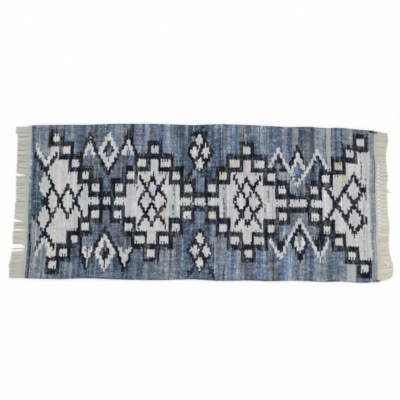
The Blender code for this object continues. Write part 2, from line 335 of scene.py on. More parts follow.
# Unevenness of the colours: a shade changes every so many picks and warps, by shares of the
# strip's grain.
Shade = namedtuple("Shade", "picks warps amount")
SHADES = rows(Shade, (1.2, 40, 1.9), (5, 1, 1.0), (1, 1, 0.7), (5, 8, 0.5))
SHADE_RANGE = (-1.2, 0.9)
HUES = Shade(1.5, 60, 0.22)  # the same for how blue or red the cloth is
TO_BLUE = np.array([-0.8, 0.2, 0.6])  # how much of that goes to red, green and blue

# Blocks of denim over the stripes, by picks and depths
Block = namedtuple("Block", "strip left right outer inner")
FAR_PATCHES = rows(
    Block,
    ("pewter", 0, 1, 0, 38), ("pewter", 1, 2, 14, 32), ("navy", 3, 14, 15, 38),
    ("midnight", 5, 14, 20, 29), ("mauve", 7, 16, 8, 16), ("heather", 276, 280, 0, 38),
    ("navy", 279, 280, 13, 32), ("slate", 42, 48, 14, 21), ("umber", 48, 54, 14, 21),
    ("umber", 51, 60, 21, 28), ("slate", 60, 70, 18, 28), ("indigo", 60, 67, 25, 36),
    ("sage", 69, 75, 13, 28), ("umber", 75, 80, 13, 21), ("mauve", 80, 86, 13, 21),
    ("sage", 96, 101, 4, 9), ("pewter", 170, 175, 0, 4), ("umber", 175, 180, 0, 5),
    ("dove", 180, 186, 0, 5), ("silver", 70, 75, 0, 5), ("silver", 235, 240, 0, 6),
    ("blue", 125, 132, 9, 21), ("blue", 125, 136, 20, 28), ("midnight", 136, 152, 19, 28),
    ("violet", 134, 142, 27, 36), ("mauve", 142, 148, 15, 21), ("indigo", 148, 153, 14, 28),
    ("silver", 201, 211, 20, 28), ("silver", 211, 216, 26, 36), ("sky", 216, 226, 26, 36),
    # The navy along the selvedge, depths 0 to 0.4, is partly the edge's own dark colour and partly painted
    # shade where the cloth turns down.
    ("teal", 225, 237, 19, 27), ("navy", 0, 280, 0, 0.4), ("ink", 276, 280, 0, 1.2),
)
NEAR_PATCHES = rows(
    Block,
    ("navy", 3, 14, 28, 38), ("silver", 3, 12, 14, 30), ("lichen", 8, 17, 3, 19),
    ("slate", 15, 28, 0, 4), ("navy", 33, 40, 8, 16), ("mauve", 42, 50, 13, 22),
    ("teal", 50, 54, 13, 22), ("blue", 51, 55, 20, 28), ("navy", 55, 60, 20, 28),
    ("navy", 69, 74, 5, 11), ("slate", 60, 67, 25, 36), ("sage", 67, 72, 15, 28),
    ("teal", 71, 75, 18, 28), ("umber", 74, 81, 14, 22), ("slate", 81, 86, 14, 22),
    ("navy", 124, 134, 17, 28), ("violet", 134, 142, 27, 36), ("indigo", 133, 145, 22, 27),
    ("navy", 144, 148.5, 18, 28), ("dove", 148.5, 151, 18, 28), ("sage", 151, 160, 8, 22),
    ("slate", 201, 205, 20, 28), ("dove", 205, 211, 20, 28), ("teal", 211, 214, 26, 36),
    ("pewter", 214, 226, 26, 36), ("mauve", 225, 231, 20, 28), ("umber", 231, 237, 20, 28),
    # The navy along the selvedge, depths 0 to 0.4, is partly the edge's own dark colour and partly painted
    # shade where the cloth turns down.
    ("brown", 198.4, 200.4, 0, 9), ("umber", 194, 198.4, 6, 16), ("navy", 0, 280, 0, 0.4),
    ("pewter", 0, 1, 0, 38), ("slate", 1, 2, 0, 18), ("mauve", 3, 5, 0, 18), ("ink", 1, 2, 17, 27),
    ("ink", 2, 3, 0, 17), ("ink", 278, 280, 0, 0.6),
)

# Tints of the cream, painted only where it is cream
FAR_TINTS = rows(
    Block,
    ("straw", 16, 24, 4, 10), ("linen", 16, 23, 10, 38), ("chalk", 23, 25.5, 16, 38),
    ("rose", 27, 31, 16, 38), ("chalk", 24, 32, 10, 16), ("lilac", 32, 41, 16, 22),
    ("mist", 39, 46, 30, 38), ("linen", 45, 57, 33, 38), ("lilac", 78, 82, 28, 38),
    ("mist", 82, 87, 28, 38), ("lilac", 97, 105, 9, 16), ("rose", 92, 97, 23, 28),
    ("chalk", 106, 112, 28, 38), ("mist", 115, 119, 28, 38), ("silver", 116.6, 118.2, 28, 38),
    ("linen", 122, 132, 34, 38), ("linen", 134, 142, 34, 38), ("mist", 154, 157, 28, 38),
    ("ash", 157, 160, 28, 38), ("lemon", 152, 161, 22, 28), ("rose", 162, 170, 16, 22),
    ("linen", 173, 179, 10, 16), ("lilac", 173, 179, 16, 26), ("mist", 190, 193, 28, 38),
    ("ash", 193.5, 195.5, 28, 38), ("mist", 196, 199, 28, 38), ("moss", 246, 254.5, 16, 22),
    ("moss", 251.5, 257, 22, 33), ("ash", 267.6, 269, 11, 24), ("mist", 271.4, 272.8, 9, 38),
    ("linen", 258, 266, 11, 16), ("ash", 274.6, 276, 18, 38), ("mist", 263, 267, 33, 38),
)
NEAR_TINTS = rows(
    Block,
    ("rose", 19.5, 22.5, 16, 30), ("linen", 22.5, 25, 16, 38), ("straw", 18, 23, 14, 18),
    ("mist", 36.5, 38, 22, 34), ("linen", 31, 40, 22, 34), ("lilac", 78, 85, 28, 38),
    ("rose", 106, 112, 26, 38), ("mist", 114, 120, 28, 38), ("ash", 116.2, 117.6, 28, 38),
    ("moss", 144, 153, 28, 36), ("silver", 157, 160, 28, 38), ("rose", 161, 163.5, 28, 38),
    ("mist", 190, 192, 28, 38), ("mist", 182, 190, 15, 22), ("mist", 196, 198, 28, 38),
    ("mist", 272, 273.5, 11, 38), ("ash", 275, 276, 24, 38), ("straw", 262, 267, 11, 22),
    ("linen", 237, 244, 22, 28),
)

# ---- the chart's figures ------------------------------------------------------------------------
# Each half is painted by itself. A depth counts pairs of warps from that half's selvedge, and a row
# counts rows of squares from the middle one outwards.
Half = namedtuple("Half", "name middle pitch stripes patches spots tints specks")
SQUARE = (2.95, 1.75)  # half of a square's size along and across
FRAME = (6.1, 4.55)  # the same for the dark frame round it
WIDE_SQUARE = 3.8  # half of the length of the squares beside a medallion's column
BODY_LEFT = (14, 14, 14, 16.5)  # where the cream grounds start in each row, and where they end
BODY_RIGHT = 276
WHOLE_DEPTH = (-9, WARPS)  # from outside a half to past its middle

# A flight of squares climbs outwards: the pick of its square in row 1 in each half, picks from row
# to row, and rows.
Flight = namedtuple("Flight", "far near step rows")
FLIGHTS = rows(
    Flight,
    (53.9, 54.2, -8.35, 5), (72.6, 72.0, 9.0, 3), (128.6, 128.4, -9.4, 3), (148.0, 148.3, 9.1, 3),
    (204.9, 204.8, -9.3, 3), (230.6, 230.8, 9.7, 5),
)
Pair = namedtuple("Pair", "far near")
TIPS = rows(Pair, (101.0, 99.4), (176.2, 176.8))  # the picks of the medallions' tips, in row 4
TIP_OFFSET = 0.2  # how far left of a tip the cream column under it lies

# Slanting dark lines in the cream grounds. The nodes of their paths are picks from a middle pick and
# steps outwards from the middle row. A line's half depth is in pairs of warps.
Trellis = namedtuple("Trellis", "far near step half_depth paths")
MEDALLION_PATHS = [
    [(-11, 2), (-4.7, 1), (0, 0.1), (4.7, 1), (11.3, 2)],
    [(-11.2, 0), (-4.7, 1), (0, 1.9), (4.7, 1), (12, 0.1)],
]
TRELLISES = [
    Trellis(13, 13, 7.6, 1.75, [
        [(8.8, 3.0), (0.2, 2), (6.2, 1), (12.4, 0), (18.6, 1), (25, 0), (31.4, 1.05)],
        [(0.2, 0), (6.2, 1)],
    ]),
    Trellis(100.1, 99.5, 6.0, 1.5, MEDALLION_PATHS),
    Trellis(176.2, 176.6, 6.0, 1.5, MEDALLION_PATHS),
    Trellis(248, 248, 7.4, 1.8, [
        [(-8.8, 1.25), (0, 0), (14.6, 1.9), (22.4, 1), (14.6, 0), (7.2, 1)], [(22, 1), (24.6, 1.0)],
    ]),
]
TOOTH = 0.75  # how far every other pick runs past a straight edge, in pairs of warps
NOTCH = (-0.35, 0.5)  # how far the picks between them fall short of it
INNER_NOTCH = (-0.35, 0.2)  # the same for a block's edge towards the middle row, which is more even
COMB = 0.5  # how far every other pick is off a slanting edge, and the edge's unevenness
JAG = 0.35

# Small figures on the denim, by the pick of their middle in each half
Arrow = namedtuple("Arrow", "far near tip inner")
ARROWS = rows(Arrow, (48.0, 48.4, 8.2, 11.2), (79.4, 78.0, 6.4, 12.2))
LOZENGE = Pair(63.4, 62.3)
CLUSTER = Pair(138.0, 138.8)
Diamond = namedtuple("Diamond", "along depth half_picks")
DIAMONDS = rows(Diamond, (-0.5, 7.2, 3.4), (-4.7, 13.1, 3.7), (4.6, 13.1, 3.7), (-0.2, 19.1, 3.5))
PEAKS = Pair(217.5, 218.4)
PEAK_PATH = [(-24, 20.0), (-15.5, 11.5), (-8.6, 20.0), (8.4, 20.4), (16, 11.5), (24, 20.4)]
PEAK_MIDDLE = Pair(27.8, 29.6)  # how deep the path reaches at its middle

# Small lozenges of colour over the figures
Spot = namedtuple("Spot", "strip pick depth half_picks half_depth")
FAR_SPOTS = rows(
    Spot,
    ("mist", 48.2, 6.8, 0.9, 1.2), ("moss", 48.0, 9.8, 2.8, 1.8), ("umber", 79.2, 11.2, 1.0, 1.0),
    ("plum", 63.2, 10.8, 1.9, 2.2), ("teal", 63.5, 14.2, 2.4, 2.2), ("pine", 87.7, 30.8, 1.0, 0.8),
    ("mauve", 201.6, 19.3, 2.3, 1.6), ("cobalt", 217.0, 21.6, 3.4, 4.6),
    ("navy", 216.8, 24.6, 3.4, 2.4), ("coal", 217.2, 17.2, 0.9, 1.2), ("plum", 100.4, 25.2, 1.4, 1.8),
)
NEAR_SPOTS = rows(
    Spot,
    ("sage", 62.4, 16.4, 1.7, 3.0), ("coal", 62.5, 7.5, 1.0, 1.2), ("pewter", 204.0, 20.6, 2.4, 1.8),
    ("pewter", 218.4, 20.4, 2.5, 3.4), ("mist", 48.6, 7.0, 0.8, 1.3),
)

# Single floats of a darker strip along one pick. A share of the floats there are of it, by chance.
Specks = namedtuple("Specks", "strip pick outer inner share")
FAR_SPECKS = rows(
    Specks,
    ("navy", 117.5, 29, 38, 0.5), ("shadow", 157.5, 30, 38, 0.5), ("shadow", 193.5, 30, 38, 0.4),
    ("shadow", 268.5, 15, 33, 0.6), ("pine", 272.5, 24, 38, 0.4),
)
NEAR_SPECKS = rows(
    Specks,
    ("shadow", 116.5, 28, 38, 0.4), ("shadow", 157.5, 28, 38, 0.6), ("navy", 190.5, 30, 38, 0.5),
    ("ash", 270.5, 12, 38, 0.8),
)
HALVES = [
    Half("far", 37.1, 6.1, FAR_STRIPES, FAR_PATCHES, FAR_SPOTS, FAR_TINTS, FAR_SPECKS),
    Half("near", 37.9, 6.2, NEAR_STRIPES, NEAR_PATCHES, NEAR_SPOTS, NEAR_TINTS, NEAR_SPECKS),
]


def between(items, share):
    """The number of the item at or before a share, and how far the share lies towards the next one."""
    i = max(k for k in range(len(items) - 1) if k == 0 or items[k].share <= share)
    return i, (share - items[i].share) / (items[i + 1].share - items[i].share)


def read(stations, share):
    """The place of an edge at a share of its length: a smooth curve through the stations."""
    i, t = between(stations, share)
    a, b = stations[i], stations[i + 1]
    before, after = stations[max(i - 1, 0)], stations[min(i + 2, len(stations) - 1)]
    step = b.share - a.share
    slope_a = step * (b.at - before.at) / (b.share - before.share)
    slope_b = step * (after.at - a.at) / (after.share - a.share)
    return (
        a.at * (2 * t**3 - 3 * t**2 + 1) + slope_a * (t**3 - 2 * t**2 + t)
        + b.at * (3 * t**2 - 2 * t**3) + slope_b * (t**3 - t**2)
    )


def read_all(stations, shares):
    return np.array([read(stations, share) for share in shares])


# ---- the chart ----------------------------------------------------------------------------------
class Chart:
    """Which strip shows at each crossing, painted layer over layer, one half at a time."""

    def __init__(self, chance):
        self.chance = chance
        self.pick = np.arange(PICKS)[:, None] + 0.5
        self.turn = (-1) ** np.arange(PICKS)[:, None]
        self.from_far = (np.arange(WARPS)[None, :] + 0.5) / 2
        self.strip = np.zeros((PICKS, WARPS), int)

    def turn_to(self, half):
        self.half = half
        self.side = 1 if half.name == "far" else -1
        self.depth = self.from_far if half.name == "far" else WARPS / 2 - self.from_far

    def at(self, pair):
        return getattr(pair, self.half.name)

    def row(self, row):
        return self.half.middle - self.half.pitch * row

    def past(self, edge, notch=NOTCH):
        """What lies inside an edge along the cloth. Every other pick runs past it, as the weave does."""
        halves = round(2 * edge + 0.5)
        long = self.turn * self.side == (1 if halves % 2 else -1)
        short = self.chance.uniform(*notch, (PICKS, 1))
        return self.depth >= halves / 2 + np.where(long, -TOOTH, short)

    def jagged(self):
        """Depths that differ from pick to pick, for slanting edges."""
        return self.depth + COMB * self.turn + JAG * self.chance.uniform(-1, 1, (PICKS, 1))

    def area(self, left, right, outer, inner):
        within = (self.pick >= left) & (self.pick < right)
        return within & self.past(outer) & ~self.past(inner, INNER_NOTCH)

    def paint(self, strip, where):
        self.strip[where & (self.depth < self.half.middle)] = NAMES.index(strip)

    def block(self, strip, left, right, outer, inner):
        self.paint(strip, self.area(left, right, outer, inner))

    def tint(self, strip, left, right, outer, inner):
        """A block that changes only the cream."""
        self.paint(strip, self.area(left, right, outer, inner) & (self.strip == NAMES.index("cream")))

    def specks(self, strip, pick, outer, inner, share):
        there = (abs(self.pick - pick) < 0.5) & (self.depth > outer) & (self.depth < inner)
        self.paint(strip, there & (self.chance.random(self.strip.shape) < share))

    def lozenge(self, strip, pick, depth, half_picks, half_depth):
        off = abs(self.pick - pick) / half_picks + abs(self.jagged() - depth) / half_depth
        self.paint(strip, off < 1)

    def wedge(self, strip, pick, tip, base, half_picks):
        """A triangle from its tip to its base, both depths."""
        share = (self.jagged() - tip) / (base - tip)
        self.paint(strip, (abs(self.pick - pick) < share * half_picks) & (share < 1))

    def stroke(self, strip, path, half_depth):
        """A slanting line through the points of a path."""
        jagged = self.jagged()
        for (pick_a, depth_a), (pick_b, depth_b) in zip(path, path[1:]):
            share = (self.pick - pick_a) / (pick_b - pick_a)
            beside = abs(jagged - depth_a - share * (depth_b - depth_a)) < half_depth
            self.paint(strip, beside & (share >= 0) & (share <= 1))

    def vary_outline(self):
        """Gives the dark floats one or another of the dark strips, in short runs."""
        picks, warps = OUTLINE_RUN
        runs = self.chance.integers(len(OUTLINES), size=(PICKS // picks + 1, WARPS // warps + 1))
        runs = np.repeat(np.repeat(runs, picks, axis=0), warps, axis=1)[:PICKS, :WARPS]
        dark = self.strip == NAMES.index(OUTLINES[0])
        self.strip[dark] = np.array([NAMES.index(name) for name in OUTLINES])[runs][dark]


def square_at(chart, flight, row):
    return chart.at(flight) + flight.step * (row - 1)


def row_edge(chart, row):
    """The outer edge of the cream in a row."""
    return chart.row(row) - SQUARE[1]


def paint_denim(chart):
    start = 0
    for stripe in chart.half.stripes:
        chart.block(stripe.strip, start, stripe.until, *WHOLE_DEPTH)
        start = stripe.until


def paint_arrow(chart, arrow):
    pick = chart.at(arrow)
    chart.wedge("ink", pick, tip=1.8, base=15.0, half_picks=8.3)
    chart.wedge("cream", pick, tip=arrow.tip, base=15.2, half_picks=5.8)
    chart.wedge("mauve", pick, tip=arrow.inner, base=15.4, half_picks=2.8)


def paint_lozenge(chart, pick):
    chart.wedge("ink", pick, tip=26.4, base=12.6, half_picks=11.4)
    chart.lozenge("cream", pick, depth=12.9, half_picks=8.5, half_depth=9.4)
    chart.lozenge("ink", pick, depth=12.6, half_picks=4.5, half_depth=5.2)


def paint_cluster(chart, pick):
    deeper = 0.8 if chart.half.name == "near" else 0
    chart.lozenge("ink", pick, depth=13.3 + deeper, half_picks=11.6, half_depth=11.2)
    if chart.half.name == "far":
        chart.block("ink", pick - 8, pick + 6.5, outer=3.4, inner=5.6)
        chart.stroke("ink", [(pick - 9.5, 25.5), (pick - 3.0, 18.5)], half_depth=1.4)
    else:
        chart.stroke("ink", [(pick + 12.4, 2.0), (pick + 6.5, 6.0)], half_depth=1.8)
        chart.stroke("ink", [(pick - 9.4, 2.6), (pick - 5.0, 4.4)], half_depth=1.7)
    for along, depth, half_picks in DIAMONDS:
        chart.lozenge("cream", pick + along, depth + deeper, half_picks, half_depth=3.3)


def paint_peaks(chart, pick):
    chart.wedge("ink", pick - 15.5, tip=11.6, base=22.0, half_picks=6.6)
    chart.wedge("ink", pick + 16.0, tip=11.6, base=21.0, half_picks=6.2)
    chart.wedge("ink", pick, tip=8.2, base=19.4, half_picks=8.6)
    if chart.half.name == "far":
        chart.wedge("cream", pick, tip=12.0, base=21.2, half_picks=6.2)
        chart.block("indigo", pick + 12.5, pick + 18.5, outer=18, inner=27.5)
    else:
        chart.lozenge("ink", pick, depth=19.6, half_picks=8.2, half_depth=10.4)
        chart.lozenge("cream", pick, depth=18.4, half_picks=5.4, half_depth=5.0)
    path = [*PEAK_PATH[:3], (0, chart.at(PEAK_MIDDLE)), *PEAK_PATH[3:]]
    chart.stroke("cream", [(pick + along, depth) for along, depth in path], half_depth=1.5)


def paint_left_corner(chart):
    further = 2.2 if chart.half.name == "near" else 0
    chart.stroke("ink", [(3.5 + further, 14.2), (12.8, 23.0)], half_depth=1.7)
    chart.stroke("cream", [(4.5 + further, 11.2), (13.0, 19.0), (18.6, 12.6)], half_depth=1.5)
    chart.block("cream", 16.5, 23.5, row_edge(chart, 4), inner=14)
    chart.block("midnight", 10, 15, outer=25, inner=WARPS)
    chart.lozenge("ink", pick=13.5, depth=37.4, half_picks=3.5, half_depth=3.5)
    if chart.half.name == "near":
        chart.stroke("ink", [(4.0, 30.5), (13.0, 23.8)], half_depth=1.4)
    chart.lozenge("linen", pick=12.8, depth=29.6, half_picks=5.2, half_depth=6.4)


def paint_bodies(chart):
    """The cream grounds between the flights."""
    for row in range(1, 5):
        left = square_at(chart, FLIGHTS[0], row) - FRAME[0]
        right = square_at(chart, FLIGHTS[-1], row) + FRAME[0]
        chart.block("cream", BODY_LEFT[row - 1], left, row_edge(chart, row), WARPS)
        chart.block("cream", right, BODY_RIGHT, row_edge(chart, row), WARPS)
    for left, right in zip(FLIGHTS[1::2], FLIGHTS[2::2]):
        for row in range(1, 4):
            start = square_at(chart, left, row) + FRAME[0]
            end = square_at(chart, right, row) - FRAME[0]
            chart.block("cream", start, end, row_edge(chart, row), WARPS)


def all_squares(chart):
    """The pick, row and half length of every square, the medallions' tips last."""
    for flight in FLIGHTS:
        for row in range(1, flight.rows + 1):
            wide = flight.rows == 3 and row == 3
            yield square_at(chart, flight, row), row, WIDE_SQUARE if wide else SQUARE[0]
    for tip in TIPS:
        yield chart.at(tip), 4, SQUARE[0]


def paint_squares(chart):
    around = FRAME[0] - SQUARE[0]
    for pick, row, half_picks in all_squares(chart):
        outer, inner = chart.row(row) - FRAME[1], chart.row(row) + FRAME[1]
        chart.block("ink", pick - half_picks - around, pick + half_picks + around, outer, inner)
    for pick, row, half_picks in all_squares(chart):
        inner = chart.row(row) + SQUARE[1]
        chart.block("cream", pick - half_picks, pick + half_picks, row_edge(chart, row), inner)
    for tip in TIPS:
        pick = chart.at(tip) - TIP_OFFSET
        chart.block("cream", pick - SQUARE[0], pick + SQUARE[0], row_edge(chart, 3), chart.row(2))


def paint_waist(chart, left, right):
    """The middle row between two flights: cream cells with dark bars beside and between them."""
    start, end = square_at(chart, left, 1), square_at(chart, right, 1)
    bar, cell = chart.row(1) + SQUARE[1], chart.row(1) + FRAME[1]
    chart.block("ink", start - FRAME[0], end + FRAME[0], bar, cell)
    chart.block("cream", start - FRAME[0], end + FRAME[0], cell, WARPS)
    chart.block("ink", start + SQUARE[0], start + FRAME[0], cell, WARPS)
    chart.block("ink", end - FRAME[0], end - SQUARE[0], cell, WARPS)


def paint_trellis(chart, trellis):
    for path in trellis.paths:
        nodes = [(chart.at(trellis) + along, chart.half.middle - out * trellis.step) for along, out in path]
        chart.stroke("ink", nodes, trellis.half_depth)


def paint_half(chart):
    paint_denim(chart)
    for patch in chart.half.patches:
        chart.block(*patch)
    for arrow in ARROWS:
        paint_arrow(chart, arrow)
    paint_lozenge(chart, chart.at(LOZENGE))
    paint_cluster(chart, chart.at(CLUSTER))
    paint_peaks(chart, chart.at(PEAKS))
    paint_bodies(chart)
    paint_squares(chart)
    paint_left_corner(chart)
    for left, right in zip(FLIGHTS[0::2], FLIGHTS[1::2]):
        paint_waist(chart, left, right)
    for trellis in TRELLISES:
        paint_trellis(chart, trellis)
    for spot in chart.half.spots:
        chart.lozenge(*spot)
    for tint in chart.half.tints:
        chart.tint(*tint)
    for specks in chart.half.specks:
        chart.specks(*specks)


def make_chart(chance):
    chart = Chart(chance)
    for half in HALVES:
        chart.turn_to(half)
        paint_half(chart)
    chart.vary_outline()
    return chart


# ---- colour -------------------------------------------------------------------------------------
def linear(colour):
    share = np.asarray(colour, float) / 255
    return np.where(share <= 0.04045, share / 12.92, ((share + 0.055) / 1.055) ** 2.4)


def uneven(chance, shade):
    """Chance values set every so many picks and warps, with even changes between them."""
    pick, warp = np.arange(PICKS) / shade.picks, np.arange(WARPS) / shade.warps
    i, j = pick.astype(int), warp.astype(int)
    s, t = (pick - i)[:, None], (warp - j)[None, :]
    nodes = chance.standard_normal((i[-1] + 2, j[-1] + 2))
    along = nodes[i] * (1 - s) + nodes[i + 1] * s
    return along[:, j] * (1 - t) + along[:, j + 1] * t


def float_colours(chart, chance):
    """A linear colour for each crossing, unevenly shaded. The lighter a float, the greyer it is."""
    colour = linear([(strip.red, strip.green, strip.blue) for strip in STRIPS])[chart.strip]
    grain = np.array([strip.grain for strip in STRIPS])[chart.strip]
    shade = sum(shade.amount * uneven(chance, shade) for shade in SHADES)
    lightening = (shade * grain).clip(*SHADE_RANGE)[..., None] * LIGHTENING
    hue = (HUES.amount * uneven(chance, HUES) * grain)[..., None] * TO_BLUE
    return GAIN * colour * np.exp(lightening + hue)


# ---- objects ------------------------------------------------------------------------------------
def add_object(name, data):
    made = bpy.data.objects.new(name, data)
    bpy.context.scene.collection.objects.link(made)
    return made


def add_yarn(name, points, faces, colours, domain):
    """A smooth mesh with the colours of its yarn, at its points or at the corners of its faces."""
    mesh = bpy.data.meshes.new(name)
    mesh.from_pydata(points.tolist(), [], faces)
    mesh.shade_smooth()
    mesh.color_attributes.new("yarn", "FLOAT_COLOR", domain).data.foreach_set("color", colours.ravel())
    return add_object(name, mesh)


# ---- the cloth ----------------------------------------------------------------------------------
# A float on the upper face is six-sided, and one on the lower face has four sides. Its points are
# counted from its crest, in thirds of a pick along and in warps across.
Face = namedtuple("Face", "warps parity quarter tip")
UPPER = Face(WARPS, 0, [((0, 0), (2, 0), (1, 1))], [((0, 0), (1, 1), (-1, 1))])
LOWER = Face(WARPS // 2, 1, [((0, 0), (3, 0), (0, 1))], [])


def squeezed(place, count):
    """A place in crossings. Half a crossing past the outermost ones is drawn in, to lie on the edge."""
    last = count - 1
    return np.where(place < 0, place / 2, np.where(place > last, last + (place - last) / 2, place))


def float_triangles(face):
    found = []
    for along, across in ((1, 1), (1, -1), (-1, 1), (-1, -1)):
        for triangle in face.quarter + (face.tip if along > 0 else []):
            points = [(a * along, b * across) for a, b in triangle]
            found.append(points if along * across > 0 else points[::-1])
    return np.array(found)


def face_triangles(face):
    """A face's triangles as places on its lattice, and the crossing that each belongs to."""
    pick, warp = np.meshgrid(np.arange(-1, PICKS + 1), np.arange(-1, face.warps + 1), indexing="ij")
    chosen = (pick + warp) % 2 == face.parity
    crests = np.stack([pick[chosen], warp[chosen]], axis=1)
    triangles = float_triangles(face)
    places = (crests * (3, 1))[:, None, None, :] + triangles[None, :, :, :]
    owners = np.repeat(crests[:, None, :], len(triangles), axis=1)
    places, owners = places.reshape(-1, 3, 2), owners.reshape(-1, 2)
    kept = ((places >= (-3, -1)) & (places <= (3 * PICKS, face.warps))).all(axis=(1, 2))
    return places[kept], owners[kept]


class Sheet:
    """The cloth's points and triangles. Each triangle belongs to a crossing, which colours it."""

    def __init__(self, shift, chance):
        self.shift, self.chance = shift, chance
        self.points, self.shares, self.faces, self.owners, self.count = [], [], [], [], 0

    def add_points(self, x, y, z, share):
        numbers = self.count + np.arange(x.size).reshape(x.shape)
        self.points.append(np.stack([v.ravel() for v in np.broadcast_arrays(x, y, z)], axis=-1))
        self.shares.append(np.broadcast_to(share, x.shape).ravel())
        self.count += x.size
        return numbers

    def add_faces(self, triangles, pick, warp):
        self.faces.append(triangles)
        self.owners.append(np.stack(np.broadcast_arrays(pick, warp), axis=-1))

    def upper_heights(self, crest, u, v):
        wave = np.sin(math.tau * FACE_WAVES[0] * u)[:, None] * np.cos(math.tau * FACE_WAVES[1] * v)
        lumps = LUMP * abs(self.chance.standard_normal(crest.shape)).clip(0, LUMP_LIMIT)
        z = CLOTH_THICKNESS - FACE_WAVE * (1 + wave) - np.where(crest, 0, FURROW) - lumps
        z[:, [1, -2]] -= SELVEDGE_DIP
        z[:, [0, -1]] = SELVEDGE_TOP * CLOTH_THICKNESS
        return z

    def lower_heights(self, crest):
        z = np.where(crest, 0, UNDER_FURROW)
        z[:, [0, -1]] = SELVEDGE_FOOT * CLOTH_THICKNESS
        return z

    def lay(self, face):
        """Adds one face, and gives the numbers of its outermost points: far, near, left and right."""
        a, b = np.arange(-3, 3 * PICKS + 1), np.arange(-1, face.warps + 1)
        pick = np.round(a / 3)
        u = (squeezed(pick + (a - 3 * pick) * TIP_WIDTH, PICKS) + 0.5) / PICKS
        v = (squeezed(b, face.warps) + 0.5) / face.warps
        left, right = read_all(LEFT_END, v), read_all(RIGHT_END, v)
        far, near = read_all(FAR_SELVEDGE, u), read_all(NEAR_SELVEDGE, u)
        x = self.shift.x + left[None, :] * (1 - u[:, None]) + right[None, :] * u[:, None]
        y = self.shift.y + far[:, None] * (1 - v[None, :]) + near[:, None] * v[None, :]
        for place in (x, y):
            inside = place[3:-3, 1:-1]
            inside += STRAY * self.chance.standard_normal(inside.shape).clip(-STRAY_LIMIT, STRAY_LIMIT)
        crest = (a[:, None] % 3 == 0) & ((a[:, None] // 3 + b[None, :]) % 2 == face.parity)
        heights = self.upper_heights(crest, u, v) if face is UPPER else self.lower_heights(crest)
        numbers = self.add_points(x, y, heights, crest * 1.0)
        places, owners = face_triangles(face)
        triangles = numbers[places[..., 0] + 3, places[..., 1] + 1]
        triangles = triangles[:, ::-1] if face is UPPER else triangles
        self.add_faces(triangles, owners[:, 0], owners[:, 1] * WARPS // face.warps)
        used = np.isin(numbers, triangles)
        ends = [np.where(used[i], numbers[i], numbers[j]) for i, j in ((0, 1), (-1, -2))]
        return numbers[used[:, 0], 0], numbers[used[:, -1], -1], *ends

    def stitch(self, one, other, along, turned, owners):
        """Triangles between two rows of points, each in order of the places in along."""
        found = []
        i = j = 0
        while i < len(one) - 1 or j < len(other) - 1:
            at_end = j == len(other) - 1
            ahead = i < len(one) - 1 and (at_end or along[one[i + 1]] <= along[other[j + 1]])
            found.append((one[i], one[i + 1], other[j]) if ahead else (one[i], other[j + 1], other[j]))
            i, j = (i + 1, j) if ahead else (i, j + 1)
        found = np.array(found)[:, ::turned]
        self.add_faces(found, *owners(along[found].mean(axis=1)))

    def stitch_selvedge(self, upper, lower, outward, warp):
        """A middle row of turns stands out between the two faces."""
        points = np.concatenate(self.points)
        start, end = points[upper[0], 0], points[upper[-1], 0]
        pick = np.arange(-1, PICKS + 1)
        x = start + (end - start) * (squeezed(pick, PICKS) + 0.5) / PICKS
        y = np.interp(x, points[upper, 0], points[upper, 1])
        bulge = SELVEDGE_BULGE * np.where(pick % 2 == 0, *TURN_BULGES)
        bulge *= 1 + TURN_UNEVENNESS * self.chance.standard_normal(len(pick)).clip(-1, 1)
        height = np.full(len(x), SELVEDGE_MIDDLE * CLOTH_THICKNESS)
        middle = self.add_points(x, y + outward * bulge, height, SIDE_SHARE)
        along = np.concatenate(self.points)[:, 0]

        def owners(x):
            return (x - start) / (end - start) * PICKS - 0.5, warp

        self.stitch(upper, middle, along, outward, owners)
        self.stitch(middle, lower, along, outward, owners)
        ends = np.array([[upper[0], middle[0], lower[0]], [upper[-1], lower[-1], middle[-1]]])
        self.add_faces(ends[:, ::outward], np.array([0, PICKS - 1]), warp)

    def stitch_end(self, upper, lower, turned, pick):
        down = -np.concatenate(self.points)[:, 1]
        start, end = down[upper[0]], down[upper[-1]]

        def owners(y):
            return pick, (y - start) / (end - start) * WARPS - 0.5

        self.stitch(upper, lower, down, turned, owners)

    def add_tail(self, tail):
        """A cloth strip's end that stands out past the right end."""
        x = self.shift.x + read(RIGHT_END, tail.share)
        y = self.shift.y + read(FAR_SELVEDGE, 1) * (1 - tail.share) + read(NEAR_SELVEDGE, 1) * tail.share
        part = np.linspace(0, 1, TAIL_RINGS)[:, None]
        turn = np.arange(TAIL_POINTS)[None, :] * math.tau / TAIL_POINTS
        size = (1 - part**3)**0.5 + TAIL_TIP
        half_width, half_height = TAIL_SIZE
        numbers = self.add_points(
            x - TAIL_TUCK + (tail.reach + TAIL_TUCK) * part + 0 * turn,
            y + tail.turn * part**2 + half_width * size * np.cos(turn),
            TAIL_HEIGHT + half_height * size * np.sin(turn),
            SIDE_SHARE,
        )
        after = np.roll(numbers, -1, axis=1)
        sides = [(numbers[:-1], after[:-1], after[1:]), (numbers[:-1], after[1:], numbers[1:])]
        faces = [np.stack(side, axis=-1).reshape(-1, 3) for side in sides]
        for cap in (numbers[0, ::-1], numbers[-1]):
            faces.append([(cap[0], cap[i], cap[i + 1]) for i in range(1, TAIL_POINTS - 1)])
        faces = np.concatenate(faces)
        self.add_faces(faces, np.full(len(faces), PICKS - 1), tail.warp)

    def piece(self, name, colours):
        points, share = np.concatenate(self.points), np.concatenate(self.shares)
        used, faces = np.unique(np.concatenate(self.faces), return_inverse=True)
        faces = faces.reshape(-1, 3)
        owner = np.concatenate(self.owners).round().astype(int).clip(0, (PICKS - 1, WARPS - 1))
        corner = np.ones((len(faces), 3, 4), np.float32)
        corner[..., :3] = colours[owner[:, 0], owner[:, 1]][:, None, :]
        corner[..., 3] = share[used][faces]
        return add_yarn(name, points[used], faces.tolist(), corner, "CORNER")


